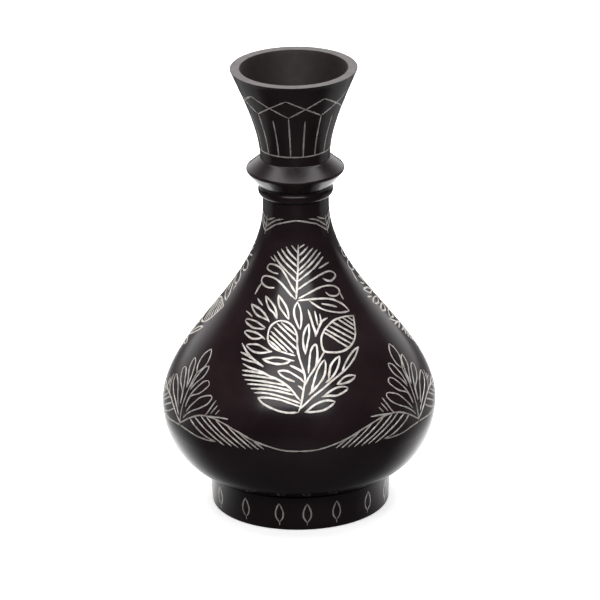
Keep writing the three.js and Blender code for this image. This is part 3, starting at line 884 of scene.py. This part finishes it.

# %% [markdown]
# ## Petals round the foot
# Sixteen narrow petals stand round the foot, at listed places in front and evenly behind.

# %% Foot petals
FRONT_PETALS = [-64, -38, -14, 4, 23.5, 48.5]
PETAL_COUNT = 16
behind = PETAL_COUNT - len(FRONT_PETALS)
gap = (360 + FRONT_PETALS[0] - FRONT_PETALS[-1]) / (behind + 1)
petal_turns = FRONT_PETALS + [FRONT_PETALS[-1] + gap * (i + 1) for i in range(behind)]
PETAL_SIDE = [(0, 12.7), (1.5, 10.6), (2.5, 8.2), (2.1, 5.8), (0, 3.6)]
PETAL_STALK = [(0, 3.8), (0, 2.2)]
PETAL_SPACING = 0.7
for i, turn in enumerate(petal_turns):
    lines = []
    for side, line in ((-1, PETAL_SIDE), (1, PETAL_SIDE), (1, PETAL_STALK)):
        places = [(turn + side * degrees, level) for degrees, level in line]
        lines.append(pot_line(places, PETAL_SPACING))
    lay(f"foot_petal_{i + 1}", lines)
print("silver pieces:", len(silver_pieces))

# %% [markdown]
# ## Materials
# A colour is written as a screen colour and turned to linear light by one function. One more
# function adds a node with its settings and its links.


# %% Colour and node helpers
def linear(code):
    parts = [int(code[i : i + 2], 16) / 255 for i in (1, 3, 5)]
    return (*[c / 12.92 if c <= 0.04045 else ((c + 0.055) / 1.055) ** 2.4 for c in parts], 1)


def add_node(tree, kind, settings=None, inputs=None, links=None):
    node = tree.nodes.new(kind)
    for key, value in (settings or {}).items():
        setattr(node, key, value)
    for key, value in (inputs or {}).items():
        node.inputs[key].default_value = value
    for key, output in (links or {}).items():
        tree.links.new(output, node.inputs[key])
    return node


def new_material(name):
    material = bpy.data.materials.new(name)
    material.use_nodes = True
    tree = material.node_tree
    tree.nodes.clear()
    return material, tree


def show(tree, shader):
    add_node(tree, "ShaderNodeOutputMaterial", links={"Surface": shader.outputs[0]})


# %% [markdown]
# ## Burnished black clay
# The clay is low-fired earthenware, rubbed with a smooth stone and blackened in smoke. Rubbing
# leaves a satin shine with faint streaks that run round the pot, about 1.5 mm apart, a grit under
# a millimetre, and soft clouds of more and less polish a few centimetres wide. The black has a
# touch of brown.

# %% Burnished clay
burnished_clay, tree = new_material("burnished_black_clay")
place = add_node(tree, "ShaderNodeTexCoord")
streak_map = add_node(
    tree,
    "ShaderNodeMapping",
    inputs={"Scale": (40, 40, 650)},
    links={"Vector": place.outputs["Object"]},
)
streaks = add_node(
    tree,
    "ShaderNodeTexNoise",
    inputs={"Scale": 1.0, "Detail": 3.0, "Roughness": 0.6},
    links={"Vector": streak_map.outputs["Vector"]},
)
clouds = add_node(
    tree,
    "ShaderNodeTexNoise",
    inputs={"Scale": 38.0, "Detail": 4.0, "Roughness": 0.55},
    links={"Vector": place.outputs["Object"]},
)
grit = add_node(
    tree,
    "ShaderNodeTexNoise",
    inputs={"Scale": 1400.0, "Detail": 2.0},
    links={"Vector": place.outputs["Object"]},
)
shade = add_node(tree, "ShaderNodeValToRGB", links={"Fac": clouds.outputs["Fac"]})
shade.color_ramp.elements[0].position = 0.35
shade.color_ramp.elements[0].color = linear("#1e1417")
shade.color_ramp.elements[1].position = 0.7
shade.color_ramp.elements[1].color = linear("#2a1f22")
polish = add_node(
    tree,
    "ShaderNodeMapRange",
    inputs={"From Min": 0.3, "From Max": 0.7, "To Min": 0.17, "To Max": 0.25},
    links={"Value": clouds.outputs["Fac"]},
)
streak_bump = add_node(
    tree,
    "ShaderNodeBump",
    inputs={"Strength": 0.06, "Distance": 0.00012},
    links={"Height": streaks.outputs["Fac"]},
)
clay_bump = add_node(
    tree,
    "ShaderNodeBump",
    inputs={"Strength": 0.04, "Distance": 0.00005},
    links={"Height": grit.outputs["Fac"], "Normal": streak_bump.outputs["Normal"]},
)
clay_shader = add_node(
    tree,
    "ShaderNodeBsdfPrincipled",
    inputs={"IOR": 1.42},
    links={
        "Base Color": shade.outputs["Color"],
        "Roughness": polish.outputs["Result"],
        "Normal": clay_bump.outputs["Normal"],
    },
)
show(tree, clay_shader)

# %% [markdown]
# ## Unpolished clay, with painted shade and painted light
# The stone can't reach inside the mouth, and the rim's face was cut dry. There the same clay stays
# matt. Inside the mouth it is also painted a little darker than the outside, as painted shade in
# the mouth's hollow. On the rim's flat top it is a much lighter grey: partly the cut face's own
# greyer clay, partly painted light where the top catches the overhead lamp. Its sandy grain runs
# from patches of 4 mm down to specks of a tenth of a millimetre.


# %% Unpolished clay
def matt_clay(name, dark, light):
    material, tree = new_material(name)
    place = add_node(tree, "ShaderNodeTexCoord")
    grains = add_node(
        tree,
        "ShaderNodeTexNoise",
        inputs={"Scale": 260.0, "Detail": 5.0, "Roughness": 0.65},
        links={"Vector": place.outputs["Object"]},
    )
    tone = add_node(tree, "ShaderNodeValToRGB", links={"Fac": grains.outputs["Fac"]})
    tone.color_ramp.elements[0].position = 0.3
    tone.color_ramp.elements[0].color = linear(dark)
    tone.color_ramp.elements[1].position = 0.7
    tone.color_ramp.elements[1].color = linear(light)
    relief = add_node(
        tree,
        "ShaderNodeBump",
        inputs={"Strength": 0.3, "Distance": 0.00015},
        links={"Height": grains.outputs["Fac"]},
    )
    shader = add_node(
        tree,
        "ShaderNodeBsdfPrincipled",
        inputs={"Roughness": 0.62, "IOR": 1.42},
        links={"Base Color": tone.outputs["Color"], "Normal": relief.outputs["Normal"]},
    )
    show(tree, shader)
    return material


# Inside the mouth: matt clay, painted a little darker than the outside as painted shade.
inner_clay_and_painted_shade = matt_clay("unpolished_clay_and_painted_shade", "#150f0f", "#241a19")
# Rim's top face: greyer cut clay, lightened further as painted light from the overhead lamp.
rim_face_and_painted_light = matt_clay("cut_rim_grey_and_painted_light", "#4b4546", "#5d5758")

# %% [markdown]
# ## Silver fill
# The fill is a soft white metal, zinc with a little tin, rubbed into the cut lines and burnished
# with the pot. It is a little uneven, with tarnish in patches of 2 mm and smaller.

# %% Silver fill
silver_fill, tree = new_material("rubbed_white_metal")
place = add_node(tree, "ShaderNodeTexCoord")
tarnish = add_node(
    tree,
    "ShaderNodeTexNoise",
    inputs={"Scale": 420.0, "Detail": 3.0},
    links={"Vector": place.outputs["Object"]},
)
metal_shade = add_node(tree, "ShaderNodeValToRGB", links={"Fac": tarnish.outputs["Fac"]})
metal_shade.color_ramp.elements[0].position = 0.3
metal_shade.color_ramp.elements[0].color = linear("#cabfb6")
metal_shade.color_ramp.elements[1].position = 0.65
metal_shade.color_ramp.elements[1].color = linear("#f6f4f0")
metal_polish = add_node(
    tree,
    "ShaderNodeMapRange",
    inputs={"To Min": 0.38, "To Max": 0.55},
    links={"Value": tarnish.outputs["Fac"]},
)
metal_bump = add_node(
    tree,
    "ShaderNodeBump",
    inputs={"Strength": 0.15, "Distance": 0.00004},
    links={"Height": tarnish.outputs["Fac"]},
)
metal_shader = add_node(
    tree,
    "ShaderNodeBsdfPrincipled",
    inputs={"Metallic": 0.65},
    links={
        "Base Color": metal_shade.outputs["Color"],
        "Roughness": metal_polish.outputs["Result"],
        "Normal": metal_bump.outputs["Normal"],
    },
)
show(tree, metal_shader)

# %% [markdown]
# ## Putting the pieces on the frame
# Every piece gets its finish and rides on the vase's one body, since nothing moves.

# %% Finish and ride
for piece in clay_pieces:
    piece.data.materials.clear()
    piece.data.materials.append(burnished_clay)
    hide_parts(piece.name.split(".")[0])
    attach(piece, "root")
mouth.data.materials.append(inner_clay_and_painted_shade)
mouth.data.materials.append(rim_face_and_painted_light)
INNER_SLOT = 1
RIM_SLOT = 2
# The flat top of the rim gets the painted light, the inward faces the painted shade.
for face in mouth.data.polygons:
    outwards = face.normal.x * face.center.x + face.normal.y * face.center.y
    if face.normal.z > 0.7 and face.center.z > (RIM_LEVEL - RIM_EDGE / 2) * MM:
        face.material_index = RIM_SLOT
    elif outwards < 0:
        face.material_index = INNER_SLOT
for piece in silver_pieces:
    piece.data.materials.clear()
    piece.data.materials.append(silver_fill)
    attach(piece, "root")
print("pieces on the body:", len(clay_pieces) + len(silver_pieces))

# %% [markdown]
# ## Floor and light
# The vase stands on a wide white sweep. The room in front is dim. The sweep's light is painted:
# rays that bounce off the clay see a glowing bright patch of the sweep only right behind the vase,
# fading to dim in front and at the sides, and the camera sees the sweep glowing evenly white. That
# painted patch leaves the belly dark and draws a bright line along its edges. One large soft light
# in front makes the pale glow that lets the silver shine.

# %% Floor
bpy.ops.object.select_all(action="DESELECT")
bpy.ops.mesh.primitive_plane_add(size=12, location=(0, 0, -0.0002))
floor = bpy.context.object
floor.name = "floor"
floor_paper_and_painted_light, tree = new_material("white_paper_and_painted_light")
paper_grain = add_node(tree, "ShaderNodeTexNoise", inputs={"Scale": 900.0})
paper_bump = add_node(
    tree,
    "ShaderNodeBump",
    inputs={"Strength": 0.05, "Distance": 0.0001},
    links={"Height": paper_grain.outputs["Fac"]},
)
floor_place = add_node(tree, "ShaderNodeTexCoord")
floor_axes = add_node(
    tree, "ShaderNodeSeparateXYZ", links={"Vector": floor_place.outputs["Object"]}
)
sideways = add_node(
    tree, "ShaderNodeMath", {"operation": "ABSOLUTE"}, links={0: floor_axes.outputs["X"]}
)
behind_pot = floor_axes.outputs["Y"]
# Painted light on the floor, made of fades. Each fade: an axis, where it starts and ends in metres,
# and the painted brightness at both places. Together they paint a bright patch just behind the
# vase.
PAINTED_LIGHT_FADES = [
    (behind_pot, -0.04, 0.035, 0.045, 1.0),
    (behind_pot, 0.22, 0.35, 1.0, 0.2),
    (sideways.outputs["Value"], 0.05, 0.14, 1.0, 0.15),
]
painted_light_patch = None
for source, start, end, at_start, at_end in PAINTED_LIGHT_FADES:
    fade = add_node(
        tree,
        "ShaderNodeMapRange",
        {"interpolation_type": "SMOOTHSTEP"},
        {"From Min": start, "From Max": end, "To Min": at_start, "To Max": at_end},
        {"Value": source},
    )
    if painted_light_patch is None:
        painted_light_patch = fade.outputs["Result"]
        continue
    both = add_node(
        tree, "ShaderNodeMath", {"operation": "MULTIPLY"}, links={0: painted_light_patch, 1: fade.outputs["Result"]}
    )
    painted_light_patch = both.outputs["Value"]
# The camera sees plain white paper with an even glow; every other ray sees the painted light patch
# as the paper's colour and as a glow of the same strength.
floor_ray = add_node(tree, "ShaderNodeLightPath")
paper_and_painted_patch_tone = add_node(
    tree,
    "ShaderNodeMix",
    inputs={"B": 0.95},
    links={"Factor": floor_ray.outputs["Is Camera Ray"], "A": painted_light_patch},
)
painted_floor_glow = add_node(
    tree,
    "ShaderNodeMix",
    inputs={"B": 0.62},
    links={"Factor": floor_ray.outputs["Is Camera Ray"], "A": painted_light_patch},
)
paper_shader = add_node(
    tree,
    "ShaderNodeBsdfPrincipled",
    inputs={"Roughness": 0.8, "Emission Color": (1, 1, 1, 1)},
    links={
        "Base Color": paper_and_painted_patch_tone.outputs["Result"],
        "Emission Strength": painted_floor_glow.outputs["Result"],
        "Normal": paper_bump.outputs["Normal"],
    },
)
show(tree, paper_shader)
floor.data.materials.append(floor_paper_and_painted_light)

# %% World: bright behind, dim in front
ROOM_BRIGHT = 1.6
ROOM_DIM = 0.045
world = bpy.data.worlds.new("studio")
bpy.context.scene.world = world
world.use_nodes = True
tree = world.node_tree
tree.nodes.clear()
direction = add_node(tree, "ShaderNodeTexCoord")
axes = add_node(tree, "ShaderNodeSeparateXYZ", links={"Vector": direction.outputs["Generated"]})
room = add_node(
    tree,
    "ShaderNodeMapRange",
    {"interpolation_type": "SMOOTHSTEP"},
    {"From Min": 0.4, "From Max": 0.95, "To Min": ROOM_DIM, "To Max": ROOM_BRIGHT},
    {"Value": axes.outputs["Y"]},
)
ray = add_node(tree, "ShaderNodeLightPath")
seen = add_node(
    tree,
    "ShaderNodeMix",
    inputs={"B": 1.0},
    links={"Factor": ray.outputs["Is Camera Ray"], "A": room.outputs["Result"]},
)
glow = add_node(
    tree,
    "ShaderNodeBackground",
    inputs={"Color": (1, 1, 1, 1)},
    links={"Strength": seen.outputs["Result"]},
)
add_node(tree, "ShaderNodeOutputWorld", links={"Surface": glow.outputs["Background"]})


# %% Lamps
def soft_box(name, place, aim, width, height, watts):
    bpy.ops.object.select_all(action="DESELECT")
    bpy.ops.object.light_add(type="AREA", location=place)
    lamp = bpy.context.object
    lamp.name = name
    lamp.data.shape = "RECTANGLE"
    lamp.data.size = width
    lamp.data.size_y = height
    lamp.data.energy = watts
    towards = Vector(aim) - Vector(place)
    lamp.rotation_euler = towards.to_track_quat("-Z", "Y").to_euler()
    print(name, watts, "W")


soft_box("front_glow", (-0.1, -1.05, 1.05), (0, 0, 0.08), width=1.5, height=0.5, watts=10)
soft_box("overhead", (0, 0.3, 1.8), (0, 0, 0), width=2.2, height=2.2, watts=60)

# %% [markdown]
# ## Camera
# The vase is seen from three metres away and 21 degrees above, through a long lens.

# %% Camera
CAMERA_DISTANCE = 3.083
CAMERA_LIFT = math.radians(21.18)
CAMERA_AIM = Vector((0.00109, 0, 0.0926))
CAMERA_ROLL = math.radians(-0.95)
bpy.ops.object.camera_add()
camera = bpy.context.object
camera.name = "camera"
camera.data.sensor_width = 36
camera.data.lens = 424.6
back = Vector((0, -math.cos(CAMERA_LIFT), math.sin(CAMERA_LIFT)))
right = Vector((1, 0, 0))
up = back.cross(right)
rolled_right = right * math.cos(CAMERA_ROLL) + up * math.sin(CAMERA_ROLL)
rolled_up = back.cross(rolled_right)
turned_camera = Matrix((rolled_right, rolled_up, back)).transposed().to_4x4()
camera.matrix_world = Matrix.Translation(CAMERA_AIM + back * CAMERA_DISTANCE) @ turned_camera
bpy.context.scene.camera = camera
bpy.context.scene.view_settings.view_transform = "Standard"
